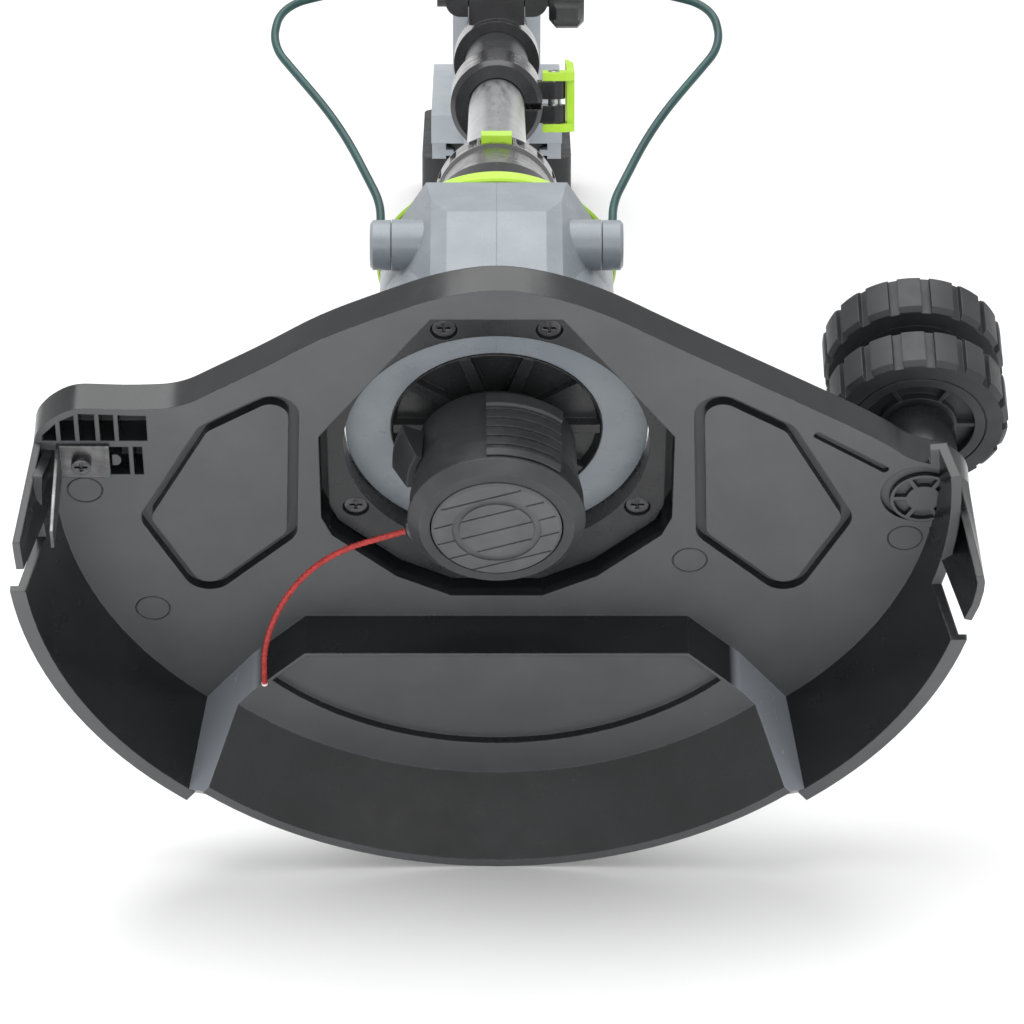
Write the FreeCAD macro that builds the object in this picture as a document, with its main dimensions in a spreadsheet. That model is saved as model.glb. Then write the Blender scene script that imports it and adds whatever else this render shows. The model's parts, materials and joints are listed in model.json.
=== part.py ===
import FreeCAD, Part
import math
import os
import re

import Sketcher

# A cordless string trimmer and edger, lying on its guard rim and its battery.
#
# Head frame: origin where the spindle axis meets the underside of the guard plate, +Z up the
# spindle to the motor, +Y back to the user, +X to the edging wheels. The head lies tilted about X.
# Shaft frame: origin on the spindle axis inside the neck, +Z up the tubes, -Y to their upper side.
# Handle frame: level with the floor, origin on the axis of the tubes, +Y back, +Z up.

V = FreeCAD.Vector
doc = FreeCAD.newDocument("StringTrimmer")
sheet = doc.addObject("Spreadsheet::Sheet", "Sizes")

DRIVING = {
    # how it lies, degrees
    "head_tilt": 61, "shaft_lean": 36,
    # guard
    "arc_r": 151.4, "arc_y": 13.25, "plate_t": 3, "wall_top": 12, "rim_r": 160.5, "rim_drop": 37,
    "bay_drop": 18, "bay_floor": 15, "bay_r": 131, "bay_rim_r": 147.5,
    "bay_rim_drop": 45, "skin_t": 2.8, "pocket_z": 10, "lip_w": 5.3,
    # housing
    "foot_r": 51.8, "foot_z": 14, "body_r": 41, "body_z": 93, "shell_t": 2.6,
    "boss_y": 32, "boss_z": 71, "boss_r": 8.9, "boss_end": 36.2, "pivot_end": 43.7, "pin_r": 4,
    "ring_r": 40.2, "ring_top": 103,
    # motor and line head
    "can_r": 21.5, "can_z": 24, "can_top": 78, "spindle_r": 2.5, "spool_r": 27.5, "cap_r": 30,
    "cap_z": 28, "cap_drop": 33, "knob_r": 22, "line_r": 1.1,
    # wheels
    "wheel_x": 146.7, "wheel_y": 20.5, "post_r": 12.8, "wheel_r": 31.5, "wheel_z": 34.5, "wheel_w": 17,
    "wheel_gap": 9.5, "axle_r": 4,
    # tubes
    "root_z": 112, "neck_r": 22, "lower_r": 12, "upper_r": 15, "tube_wall": 1.5,
    "collar_s": 64, "upper_s": 420, "clamp_s": 400, "aux_s": 600, "grip_s": 800,
    # edge guide
    "wire_r": 1.5, "wire_hole": 40.2, "loop_top": 205, "loop_half": 84,
    # handle and battery
    "grip_w": 17, "shoe_w": 34, "case_w": 39, "case_l": 112, "case_top": 50, "wall_t": 2.6,
}

for row, (alias, value) in enumerate(DRIVING.items(), start=1):
    sheet.set("A%d" % row, alias)
    sheet.set("B%d" % row, str(value))
    sheet.setAlias("B%d" % row, alias)
doc.recompute()

PARTS = []
WORD = re.compile(r"[a-z][a-z_]*[a-z]")


def bound(text):
    """The expression with each driving dimension spelt as a cell of the sheet."""
    return WORD.sub(lambda m: "Sizes." + m.group() if m.group() in DRIVING else m.group(), str(text))


def size(text):
    """The number that an expression gives."""
    return float(sheet.evalExpression(bound(text)))


def spin(axis, angle):
    return FreeCAD.Rotation(V(*axis), angle)


def move(x=0, y=0, z=0, rotation=None):
    return FreeCAD.Placement(V(size(x), size(y), size(z)), rotation or FreeCAD.Rotation())


# ------------------------------------------------------------------ frames
TILT = math.radians(size("head_tilt"))
RISE = size("arc_y + bay_rim_r + skin_t * 1.3") * math.sin(TILT) + size("bay_rim_drop") * math.cos(TILT)
HEAD = FreeCAD.Placement(V(0, 0, RISE), spin((1, 0, 0), -size("head_tilt")))
GUARD = HEAD * move(y="arc_y")
SHAFT = HEAD * move(z="root_z", rotation=spin((1, 0, 0), -size("shaft_lean")))
grip = SHAFT.multVec(V(0, 0, size("grip_s")))
HANDLE = FreeCAD.Placement(grip, FreeCAD.Rotation())
FLOOR = -grip.z


# ------------------------------------------------------------------ building blocks
def part(shape_object, label, placement=None):
    shape_object.Label = label
    if placement is not None:
        shape_object.Placement = placement
    PARTS.append(shape_object)
    return shape_object


def new_body(label, placement):
    return part(doc.addObject("PartDesign::Body", label), label, placement)


def origin_plane(body, role):
    return next(f for f in body.Origin.OriginFeatures if f.Role == role)


def arc_between(p, q, radius):
    """A short arc from p to q; a positive radius has its centre on the left of the way."""
    dx, dy = q[0] - p[0], q[1] - p[1]
    chord = math.hypot(dx, dy)
    height = math.sqrt(max(radius * radius - chord * chord / 4, 0)) * (1 if radius > 0 else -1)
    centre = V((p[0] + q[0]) / 2 - dy / chord * height, (p[1] + q[1]) / 2 + dx / chord * height, 0)
    ends = (p, q) if radius > 0 else (q, p)
    angles = [math.atan2(e[1] - centre.y, e[0] - centre.x) for e in ends]
    return Part.ArcOfCircle(Part.Circle(centre, V(0, 0, 1), abs(radius)), *angles)


def sketch(body, plane, loops, lift=0, turned=None):
    """A sketch of closed loops. A loop is ("circle", x, y, r) or a list of (x, y[, radius of the
    arc to the next point]); every number may be an expression of the driving dimensions."""
    made = body.newObject("Sketcher::SketchObject", body.Label + "_sketch")
    made.AttachmentSupport = [(origin_plane(body, plane), "")]
    made.MapMode = "FlatFace"
    if turned is not None:
        made.AttachmentOffset = turned
    else:
        made.setExpression("AttachmentOffset.Base.z", bound(lift))
    for loop in loops:
        first = made.GeometryCount
        if loop[0] == "circle":
            x, y, r = loop[1:]
            made.addGeometry(Part.Circle(V(size(x), size(y), 0), V(0, 0, 1), size(r)))
            hold(made, "Radius", (first,), r)
            hold(made, "DistanceX", (-1, 1, first, 3), x)
            hold(made, "DistanceY", (-1, 1, first, 3), y)
            continue
        spots = [(size(v[0]), size(v[1])) for v in loop]
        count = len(loop)
        ends = []
        for i, vertex in enumerate(loop):
            p, q = spots[i], spots[(i + 1) % count]
            if len(vertex) == 3:
                made.addGeometry(arc_between(p, q, size(vertex[2])))
                ends.append((1, 2) if size(vertex[2]) > 0 else (2, 1))
            else:
                made.addGeometry(Part.LineSegment(V(*p, 0), V(*q, 0)))
                ends.append((1, 2))
        for i in range(count):
            after = (i + 1) % count
            link = Sketcher.Constraint("Coincident", first + i, ends[i][1], first + after, ends[after][0])
            made.addConstraint(link)
        for i, vertex in enumerate(loop):
            hold(made, "DistanceX", (-1, 1, first + i, ends[i][0]), vertex[0])
            hold(made, "DistanceY", (-1, 1, first + i, ends[i][0]), vertex[1])
            if len(vertex) == 3:
                hold(made, "Radius", (first + i,), "abs(%s)" % vertex[2])
    return made


def hold(made, kind, where, text):
    """A dimension of a sketch, bound to the sheet where its text names a driving dimension."""
    number = made.addConstraint(Sketcher.Constraint(kind, *where, size(text)))
    if WORD.search(str(text).replace("abs", "")):
        made.setExpression("Constraints[%d]" % number, bound(text))


def pad(body, loops, low, high, plane="XY_Plane", taper=0, turned=None):
    made = sketch(body, plane, loops, low, turned)
    feature = body.newObject("PartDesign::Pad", body.Label + "_pad")
    feature.Profile = made
    feature.setExpression("Length", bound("(%s) - (%s)" % (high, low)) if turned is None else bound(high))
    feature.TaperAngle = taper
    made.Visibility = False
    return feature


def cut(body, loops, low, high, plane="XY_Plane", turned=None):
    """Removes the loops' prism from low to high along the plane's normal."""
    made = sketch(body, plane, loops, high, turned)
    feature = body.newObject("PartDesign::Pocket", body.Label + "_pocket")
    feature.Profile = made
    feature.Type = 0
    feature.setExpression("Length", bound("(%s) - (%s)" % (high, low)) if turned is None else bound(high))
    return feature


def turn(body, profile, angle=360, plane="XZ_Plane", middle=False, back=False, remove=False):
    """A solid or a groove turned about Z from a profile of (radius, height) points."""
    made = sketch(body, plane, [profile])
    kind = "PartDesign::Groove" if remove else "PartDesign::Revolution"
    feature = body.newObject(kind, body.Label + "_turn")
    feature.Profile = made
    feature.ReferenceAxis = (made, ["V_Axis"])
    feature.setExpression("Angle", bound(angle))
    feature.Midplane = middle
    feature.Reversed = back
    return feature


def around(body, feature, count, angle=360):
    made = body.newObject("PartDesign::PolarPattern", body.Label + "_pattern")
    made.Originals = [feature]
    made.Axis = (origin_plane(body, "Z_Axis"), [""])
    made.Angle = angle
    made.Occurrences = count
    body.Tip = made
    return made


def soften(body, choose, radius):
    """Rounds the edges of the body that choose() picks."""
    doc.recompute()
    base = body.Tip
    names = ["Edge%d" % (i + 1) for i, edge in enumerate(base.Shape.Edges) if choose(edge)]
    feature = body.newObject("PartDesign::Fillet", body.Label + "_fillet")
    feature.Base = (base, names)
    feature.Radius = radius
    return feature


def turned_part(label, placement, profile):
    body = new_body(label, placement)
    turn(body, profile)
    return body


def cylinder(label, radius, height, placement):
    made = doc.addObject("Part::Cylinder", label)
    made.setExpression("Radius", bound(radius))
    made.setExpression("Height", bound(height))
    made.Placement = placement
    return made


def box(label, length, width, height, placement):
    made = doc.addObject("Part::Box", label)
    for name, text in (("Length", length), ("Width", width), ("Height", height)):
        made.setExpression(name, bound(text))
    made.Placement = placement
    return made


def fused(label, shapes):
    made = doc.addObject("Part::MultiFuse", label)
    made.Shapes = shapes
    return made


def minus(label, base, tool):
    made = doc.addObject("Part::Cut", label)
    made.Base = base
    made.Tool = tool
    return made


def group(label, members):
    """Separate solids of one kind that share a node."""
    made = doc.addObject("Part::Compound", label)
    made.Links = members
    return part(made, label)


def screw(name, placement, shank, length, head):
    """A pan-head screw with its head's underside at the origin and its shank along +Z."""
    shaft = cylinder(name + "_shank", shank, length, placement)
    top = cylinder(name + "_head", head, "2.4", placement * move(z="-2.4"))
    slots = [
        box(name + "_slot%d" % i, "4.4", "1", "1.3", placement * move(z="-2.5", rotation=spin((0, 0, 1), 90 * i))
            * move(x="-2.2", y="-0.5"))
        for i in range(2)
    ]
    return minus(name, fused(name + "_blank", [top, shaft]), fused(name + "_cross", slots))


def rounded(points, radius):
    """The outline with every corner replaced by a tangent arc."""
    done = []
    spots = [(size(x), size(y)) for x, y in points]
    for i, corner in enumerate(spots):
        before, after = spots[i - 1], spots[(i + 1) % len(spots)]
        a = (before[0] - corner[0], before[1] - corner[1])
        b = (after[0] - corner[0], after[1] - corner[1])
        la, lb = math.hypot(*a), math.hypot(*b)
        half = math.acos((a[0] * b[0] + a[1] * b[1]) / la / lb) / 2
        reach = radius / math.tan(half)
        left = (b[0] * a[1] - b[1] * a[0]) > 0
        done.append((corner[0] + a[0] / la * reach, corner[1] + a[1] / la * reach, radius if left else -radius))
        done.append((corner[0] + b[0] / lb * reach, corner[1] + b[1] / lb * reach))
    return done


def inset(points, distance, closed=True):
    """The outline moved to the left of its way by a distance."""
    spots = [(size(v[0]), size(v[1])) for v in points]
    count = len(spots)
    moved = []
    for i, spot in enumerate(spots):
        sides = []
        for a, b in ((i - 1, i), (i, i + 1)):
            if closed or (a >= 0 and b < count):
                p, q = spots[a % count], spots[b % count]
                length = math.hypot(q[0] - p[0], q[1] - p[1])
                sides.append((-(q[1] - p[1]) / length, (q[0] - p[0]) / length))
        nx, ny = sum(n[0] for n in sides), sum(n[1] for n in sides)
        scale = distance * len(sides) / (nx * nx + ny * ny) if len(sides) == 2 else distance
        moved.append((spot[0] + nx * scale, spot[1] + ny * scale))
    return moved


def mirrored(points):
    """The outline on the other side of the middle plane, run the same way round."""
    return [("-(%s)" % x, y) for x, y in reversed(points)]


# ------------------------------------------------------------------ guard
FRONT = [
    (-150.6, 13), (-156.5, 6), (-157.6, -2), (-157, -11), (-151, -19), (-143, -24), (-124, -23), (-107, -24),
    (-95, -32), (-78, -43), (-59, -57), (-37, -68), (-20, -76), (0, -80.4), (20, -76), (37, -68), (59, -53.5),
    (102, -26.5), (117, -17), (132, -7), (141, 1), (149, 3.6), (156.5, 7), (161.6, 13.3), (163, 21),
    (162.4, 31), (149.7, 37),
]
OPENING = [
    (-22, -66), (22, -66), (60.5, -10), (60.5, 30), (57, 39), (35, 60), (16, 70),
    (-16, 70), (-35, 60), (-57, 39), (-60.5, 30), (-60.5, -10),
]
PANEL = [(66, -38), (101, -15), (123.5, 30), (103, 73), (69, 39)]
WING = [(-67.1, 67.05), (67.1, 67.05), (86.3, 87.1)]
WALL_WAY = (0.593, 0.805)
CLAMP_SPOTS = [(-17.6, -55), (17.6, -55), (48.7, 31), (-48.7, 31)]


def on_arc(points):
    """Head-frame points in the guard's own frame, whose origin is the centre of its round edge."""
    return [(v[0], "%s - arc_y" % v[1]) + tuple(v[2:]) for v in points]


def eased(points):
    """The open outline with each inner corner replaced by the widest arc that its shorter side allows."""
    spots = [(size(v[0]), size(v[1])) for v in points]
    done = [spots[0]]
    for before, corner, after in zip(spots, spots[1:], spots[2:]):
        a = (before[0] - corner[0], before[1] - corner[1])
        b = (after[0] - corner[0], after[1] - corner[1])
        la, lb = math.hypot(*a), math.hypot(*b)
        reach = 0.48 * min(la, lb)
        half = math.acos((a[0] * b[0] + a[1] * b[1]) / la / lb) / 2
        left = (b[0] * a[1] - b[1] * a[0]) > 0
        radius = reach * math.tan(half) * (1 if left else -1)
        done.append((corner[0] + a[0] / la * reach, corner[1] + a[1] / la * reach, radius))
        done.append((corner[0] + b[0] / lb * reach, corner[1] + b[1] / lb * reach))
    return done + [spots[-1]]


def bridge(body, low_loop, low, high_loop, high):
    """A straight-sided solid between a loop at one height and a loop with as many corners at another."""
    made = body.newObject("PartDesign::AdditiveLoft", body.Label + "_bridge")
    made.Profile = sketch(body, "XY_Plane", [low_loop], low)
    made.Sections = [sketch(body, "XY_Plane", [high_loop], high)]
    made.Ruled = True
    return made


def band(outer, thickness):
    """The closed loop between an open outline and the same outline moved to the left of its way."""
    return outer + [tuple(v) for v in reversed(inset(outer, thickness, closed=False))]


def guard_plate():
    """The plate, its front wall and the side skirts."""
    body = new_body("guard_plate", GUARD)
    PARTS.remove(body)
    rear = [
        ("sqrt(arc_r^2 - (37 - arc_y)^2)", "37 - arc_y", "arc_r"),
        (0, "arc_r", "arc_r"),
        ("-sqrt(arc_r^2 - (13 - arc_y)^2)", "13 - arc_y"),
    ]
    pad(body, [on_arc(eased(FRONT)[1:-1]) + rear], 0, "wall_top")
    behind_wall = eased(inset(FRONT, 2.4, closed=False))
    cut(body, [on_arc(behind_wall + [(180, 40), (180, 180), (-180, 180), (-180, 16)])], "plate_t", "wall_top")
    skirt = [
        ("arc_r - 3", 0), ("arc_r", 0), ("rim_r", "-rim_drop"), ("rim_r + lip_w", "-rim_drop"),
        ("rim_r + lip_w", "-rim_drop + 2.4"), ("rim_r + 2.6", "-rim_drop + 2.4"),
        ("arc_r + skin_t", "plate_t"), ("arc_r - 3", "plate_t"),
    ]
    turn(body, skirt, 193, "YZ_Plane", middle=True)
    slopes = ((12, 15, -180, -95), (36, 40, 95, 180))
    for top, bottom, low, high in slopes:
        ramp = [(-60, -0.01), (top, -0.01), (bottom, "-rim_drop"), (bottom, -60), (-60, -60)]
        cut(body, [on_arc(ramp)], low, high, "YZ_Plane")
    return body


def cheeks(body):
    """The ears' side walls, which run down from the plate to the ends of the rim."""
    right_top = [(157.5, -5.7), (161.6, 0.05), (163, 7.75), (162.4, 17.75), (150.2, 23.75)]
    right_low = [(164.8, 6.2), (165.5, 9.2), (165.4, 14), (164.4, 21), (162.2, 28.6)]
    left_top = [(-150.6, -0.25), (-156.5, -7.25), (-157.6, -15.25), (-157, -21.25)]
    left_low = [(-162.3, 2.75), (-162.6, -3.25), (-162.8, -8.25), (-162.8, -10.25)]
    for low_line, top_line in ((right_low, right_top), (left_low, left_top)):
        bridge(body, band(low_line, 2.6), "-rim_drop", band(top_line, 2.6), 1)


def ear_pockets(body):
    """The ribbed pockets beside the line cutter, and the keyhole groove round the wheel post."""
    block = [(-155.6, 8.6), (-155.6, -11), (-150.6, -18), (-141.8, -22.4), (-116.6, -21.4), (-116.6, 9)]
    pad(body, [on_arc(block)], 0, "pocket_z + 1.6")
    cells = [
        [(-154.2, -8.1), (-154.2, -10.6), (-149.4, -16.4), (-149.4, -8.1)],
        [(-147.9, -8.1), (-147.9, -17.6), (-143, -20.4), (-143, -8.1)],
        [(-141.5, -8.1), (-141.5, -21.2), (-136, -21), (-136, -8.1)],
        [(-134.5, -8.1), (-134.5, -20.9), (-129.6, -20.7), (-129.6, -8.1)],
        [(-128.1, -8.1), (-128.1, -20.6), (-118.5, -20.2), (-118.5, -8.1)],
        [(-132, 8.4), (-132, -5.2), (-125.2, -5.2), (-125.2, 8.4)],
        [(-123.7, 8.4), (-123.7, -5.2), (-120.5, -5.2), (-120.5, 8.4)],
    ]
    cut(body, [on_arc(cell) for cell in cells], -0.1, "pocket_z")
    pad(body, [on_arc([(-131, -1.4), (-129.4, -1.4, 3), (-129.4, 3.8), (-131, 3.8)])], 0, "pocket_z + 1")
    cut(body, [("circle", -141.4, "0.9 - arc_y", 1.7)], -1, 30)
    groove = [(109.5, -12.2), (133.8, 5, 1.7), (132, 7.4), (107.7, -9.8, 1.7)]
    cut(body, [on_arc(groove)], -0.1, 2.1)
    cut(body, [("circle", "wheel_x - 1.5", "wheel_y - arc_y - 2.3", "post_r + 0.6")], -0.1, 1.8)
    cut(body, [("circle", "wheel_x", "wheel_y - arc_y", "post_r - 1.2")], -1, 20)


def front_bay():
    """The raised bay in the middle of the skirt: its two side walls and its outer wall."""
    body = new_body("front_bay", GUARD)
    PARTS.remove(body)
    side = [
        ("bay_r - 6", "-bay_drop"), ("bay_r", "-bay_drop"), ("bay_rim_r", "-bay_rim_drop"),
        ("bay_rim_r + 3", "-bay_rim_drop"), ("rim_r", "-rim_drop"), ("rim_r + lip_w", "-rim_drop"),
        ("rim_r + lip_w", "-rim_drop + 2.4"), ("rim_r + 2.6", "-rim_drop + 2.4"),
        ("arc_r + skin_t", "plate_t"), ("bay_r - 6", "plate_t"),
    ]
    turn(body, side, 98, "YZ_Plane", middle=True)
    corner = WING[2]
    far = tuple(c + 110 * w for c, w in zip(corner, WALL_WAY))
    inner = (corner[0] - 2.8 * WALL_WAY[1], corner[1] + 2.8 * WALL_WAY[0])
    near_end = tuple(c - 30 * w for c, w in zip(inner, WALL_WAY))
    far_end = tuple(c + 110 * w for c, w in zip(inner, WALL_WAY))
    cut(body, [[near_end, far_end, (-far_end[0], far_end[1]), (-near_end[0], near_end[1])]], -60, 20)
    rear_skirt = [
        ("bay_r", "-bay_drop"), ("bay_rim_r", "-bay_rim_drop"), ("bay_rim_r + skin_t * 1.3", "-bay_rim_drop"),
        ("bay_r + skin_t", "-bay_drop + 3"), ("bay_r - 3", "-bay_drop + 3"), ("bay_r - 3", "-bay_drop"),
    ]
    turn(body, rear_skirt, 98, "YZ_Plane", middle=True)
    outside = [corner, (corner[0], -20), (260, -20), (260, far[1]), far]
    cut(body, [outside, [(-x, y) for x, y in reversed(outside)]], -60, 20)
    return body


def guard():
    body = guard_plate()
    cheeks(body)
    corner = WING[2]
    far = tuple(c + 110 * w for c, w in zip(corner, WALL_WAY))
    cut(body, [WING + [far, (-far[0], far[1]), (-corner[0], corner[1])]], -60, 20)
    reach = tuple(c + 13.2 * w for c, w in zip(corner, WALL_WAY))
    tray = WING + [reach + ("bay_r + skin_t",), (-reach[0], reach[1]), (-corner[0], corner[1])]
    pad(body, [tray], "-bay_drop", "plate_t")
    hollow = [
        (-66, 70.2), (66, 70.2), (83, 87), (89.4, 95.4, "bay_r - 0.6"), (-89.4, 95.4), (-83, 87),
    ]
    cut(body, [hollow], "-bay_floor + skin_t", "plate_t + 1")
    crescent = [
        ("-66.4", "81.4 - arc_y"), ("66.4", "81.4 - arc_y"), ("79", "94.5 - arc_y", "bay_r - 22"),
        ("-79", "94.5 - arc_y"),
    ]
    cut(body, [crescent], "-bay_drop - 1", "-bay_floor")
    for outline in (PANEL, mirrored(PANEL)):
        pad(body, [rounded(on_arc(inset(outline, -2.4)), 10)], 0, "plate_t + 3.2")
        cut(body, [rounded(on_arc(outline), 9), rounded(on_arc(inset(outline, 3.6)), 6)], -1, "plate_t + 0.8")
    collar = inset(OPENING, -2.4)
    pad(body, [on_arc(collar)], 0, "foot_z + 2.4")
    cut(body, [on_arc(OPENING)], -20, "foot_z")
    cut(body, [("circle", 0, "-arc_y", "foot_r + 0.5")], -1, 30)
    cut(body, [("circle", x, "%s - arc_y" % y, 2.3) for x, y in CLAMP_SPOTS], "foot_z - 1", 30)
    ear_pockets(body)
    part(fused("guard", [body, front_bay()]), "guard")


def clamp_ring():
    body = new_body("clamp_ring", HEAD)
    pad(body, [rounded(inset(OPENING, 2.6), 4), ("circle", 0, 0, "foot_r + 0.5")], 6, "foot_z")
    cut(body, [("circle", x, y, 4.6) for x, y in CLAMP_SPOTS], 5, 9.4)
    cut(body, [("circle", x, y, 2.3) for x, y in CLAMP_SPOTS], 5, 30)


def guard_screws():
    """Five pan-head screws: four through the clamp ring and one through the line cutter."""
    made = []
    for i, (x, y) in enumerate(CLAMP_SPOTS):
        made.append(screw("clamp_screw_%d" % i, HEAD * move(x, y, 9.4), 2, 15, 4))
    made.append(screw("cutter_screw", HEAD * move(-141.4, 0.9, -1.5), 1.65, 11, 3.4))
    group("guard_screws", made)


def line_cutter():
    """A bracket under the ear and a thin blade that hangs from its outer edge."""
    body = new_body("line_cutter", HEAD)
    outline = [(-149.6, -6.9), (-131.7, -6.9), (-131.7, 8.4), (-149.6, 8.4)]
    pad(body, [outline, ("circle", -141.4, 0.9, 2.1)], -1.5, 0)
    blade = [(-6.9, -1), (8.4, -1), (8, -12), (3, -39), (-5, -39), (-6.9, -24)]
    pad(body, [blade], -149.6, -148.5, "YZ_Plane")


# ------------------------------------------------------------------ motor housing
SEAM_SPOTS = [(43.4, 40), (-43.4, 40), (36.2, 84)]
NECK_SPOTS = [(-19.4, 12), (19.4, 12)]


def housing_half(label, side):
    """One moulded half: a flared foot, a round body, a side boss and its pivot pin."""
    body = new_body(label, HEAD)
    outer = [
        ("foot_r - 15.5", "foot_z"), ("foot_r", "foot_z"), ("foot_r", "foot_z + 12"), ("body_r + 1", "boss_z - 6"),
        ("body_r", "boss_z + 8"), ("body_r", "body_z"), ("ring_r - 12", "body_z"), ("ring_r - 12", "body_z - shell_t"),
        ("body_r - shell_t", "body_z - shell_t"), ("body_r - shell_t", "boss_z + 8"),
        ("body_r + 1 - shell_t", "boss_z - 6"), ("foot_r - shell_t", "foot_z + 12"),
        ("foot_r - shell_t", "foot_z + 3"), ("foot_r - 15.5", "foot_z + 3"),
    ]
    turn(body, outer, 180, "YZ_Plane", back=side > 0)
    near, far = ("24", "boss_end") if side > 0 else ("-boss_end", "-24")
    pad(body, [("circle", "-boss_y", "boss_z", "boss_r")], near, far, "YZ_Plane")
    pin = ("boss_end", "pivot_end - 2") if side > 0 else ("-pivot_end + 2", "-boss_end")
    pad(body, [("circle", "-boss_y", "boss_z", "pin_r")], *pin, "YZ_Plane")
    plan = [(0, -48), (17, -48), (22.6, -45.6), (36, -20), (0, -20)]
    hollow = [(0, -45.4), (16, -45.4), (20.6, -44), (32, -22), (0, -22)]
    if side < 0:
        plan = [(-x, y) for x, y in reversed(plan)]
        hollow = [(-x, y) for x, y in reversed(hollow)]
    pad(body, [plan], "foot_z + 4", "body_z - 1")
    slope = [(-60, "boss_z"), (-48, "boss_z"), (-42, "body_z - 1"), (-42, "body_z + 9"), (-60, "body_z + 9")]
    cut(body, [slope], -40, 40, "YZ_Plane")
    cut(body, [hollow], "foot_z + 4", "boss_z - 11")
    lugs = [(x, y) for x, y in CLAMP_SPOTS if x * side > 0]
    pad(body, [("circle", x, y, 5.5) for x, y in lugs], "foot_z + 2.8", "foot_z + 13")
    web = [("circle", "%s * 0.9" % x, "%s * 0.9" % y, 5) for x, y in lugs]
    pad(body, web, "foot_z + 3", "foot_z + 12")
    inside = [(0, "foot_z + 3"), ("foot_r - shell_t", "foot_z + 3"), ("foot_r - shell_t", "foot_z + 12"),
              ("body_r + 1 - shell_t", "boss_z - 6"), ("body_r - shell_t", "boss_z + 8"),
              ("body_r - shell_t", "body_z - shell_t"), (0, "body_z - shell_t")]
    turn(body, inside, 360, "YZ_Plane", remove=True)
    cut(body, [("circle", x, y, 2) for x, y in lugs], "foot_z - 1", "foot_z + 12")
    reach = ("0", "10") if side > 0 else ("-10", "0")
    pad(body, [("circle", y, z, 3.2) for y, z in SEAM_SPOTS], *reach, "YZ_Plane")
    cut(body, [("circle", y, z, 1.5) for y, z in SEAM_SPOTS], -9, 9, "YZ_Plane")


def seam_screws():
    """Screws across the seams of the motor housing and of the neck."""
    made = []
    for i, (y, z) in enumerate(SEAM_SPOTS):
        spot = HEAD * move(9, y, z, rotation=spin((0, 1, 0), -90))
        made.append(cylinder("housing_screw_%d" % i, 1.5, 18, spot))
    for i, (y, z) in enumerate(NECK_SPOTS):
        spot = SHAFT * move(8, y, z, rotation=spin((0, 1, 0), -90))
        made.append(cylinder("neck_screw_%d" % i, 1.3, 16, spot))
    group("seam_screws", made)


def accent_ring():
    """A conical band between the housing and the neck."""
    profile = [
        ("ring_r - 12", "body_z"), ("ring_r + 1.4", "body_z"), ("ring_r + 2.2", "body_z + 0.8"),
        ("ring_r - 2.6", "ring_top - 0.8"), ("ring_r - 3.2", "ring_top"), ("ring_r - 12", "ring_top"),
    ]
    turned_part("accent_ring", HEAD, profile)


def motor_mount():
    """The black cup around the spindle, with ribs on its underside."""
    body = new_body("motor_mount", HEAD)
    dish = [
        (9, 20), (12, 17), ("foot_r - 17.5", 17), ("foot_r - 15.7", 13), ("foot_r - 15.7", 20), ("foot_r - 18", "can_z"),
        (9, "can_z"),
    ]
    turn(body, dish)
    rib = pad(body, [[(14, -2), ("foot_r - 16.5", -2), ("foot_r - 16.5", 2), (14, 2)]], 13.5, 18)
    around(body, rib, 10)


def motor_can():
    profile = [
        (8.2, "can_z"), ("can_r", "can_z"), ("can_r", "can_top"), ("can_r - 1.2", "can_top"),
        ("can_r - 1.2", "can_z + 1.2"), (9.5, "can_z + 1.2"), (9.5, "can_z + 5"), (8.2, "can_z + 5"),
    ]
    turned_part("motor_can", HEAD, profile)


def motor_magnets():
    body = new_body("motor_magnets", HEAD)
    bar = [("can_r - 5.5", 30), ("can_r - 1.3", 30), ("can_r - 1.3", 66), ("can_r - 5.5", 66)]
    turn(body, bar, 130, "XZ_Plane", middle=True)
    other = new_body("motor_magnet_rear", HEAD * move(rotation=spin((0, 0, 1), 180)))
    turn(other, bar, 130, "XZ_Plane", middle=True)
    for one in (body, other):
        PARTS.remove(one)
    body.Label = "motor_magnet_front"
    group("motor_magnets", [body, other])


def motor_end_bell():
    profile = [
        (8.2, "can_top + 0.1"), ("can_r", "can_top + 0.1"), ("can_r", "can_top + 4"), (12, "can_top + 9"),
        (3.4, "can_top + 9"), (3.4, "can_top + 7"), (8.2, "can_top + 7"),
    ]
    turned_part("motor_end_bell", HEAD, profile)


def spindle_bearings():
    made = []
    for name, low in (("lower_bearing", "can_z"), ("upper_bearing", "can_top + 2")):
        ring = new_body(name, HEAD)
        PARTS.remove(ring)
        top = low + " + 4.9"
        turn(ring, [("spindle_r + 0.05", low), (8.1, low), (8.1, top), ("spindle_r + 0.05", top)])
        made.append(ring)
    group("spindle_bearings", made)


def armature():
    profile = [
        ("spindle_r", 31), (12, 31), (15, 35), (15, 61), (12, 65), (7, 66), (7, 74), ("spindle_r", 74),
    ]
    body = turned_part("armature", HEAD, profile)
    slot = cut(body, [[(10, -1), (17, -1), (17, 1), (10, 1)]], 34, 62)
    around(body, slot, 10)


def motor_spindle():
    part(cylinder("motor_spindle", "spindle_r", 105, HEAD * move(z=-20)), "motor_spindle")


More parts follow.
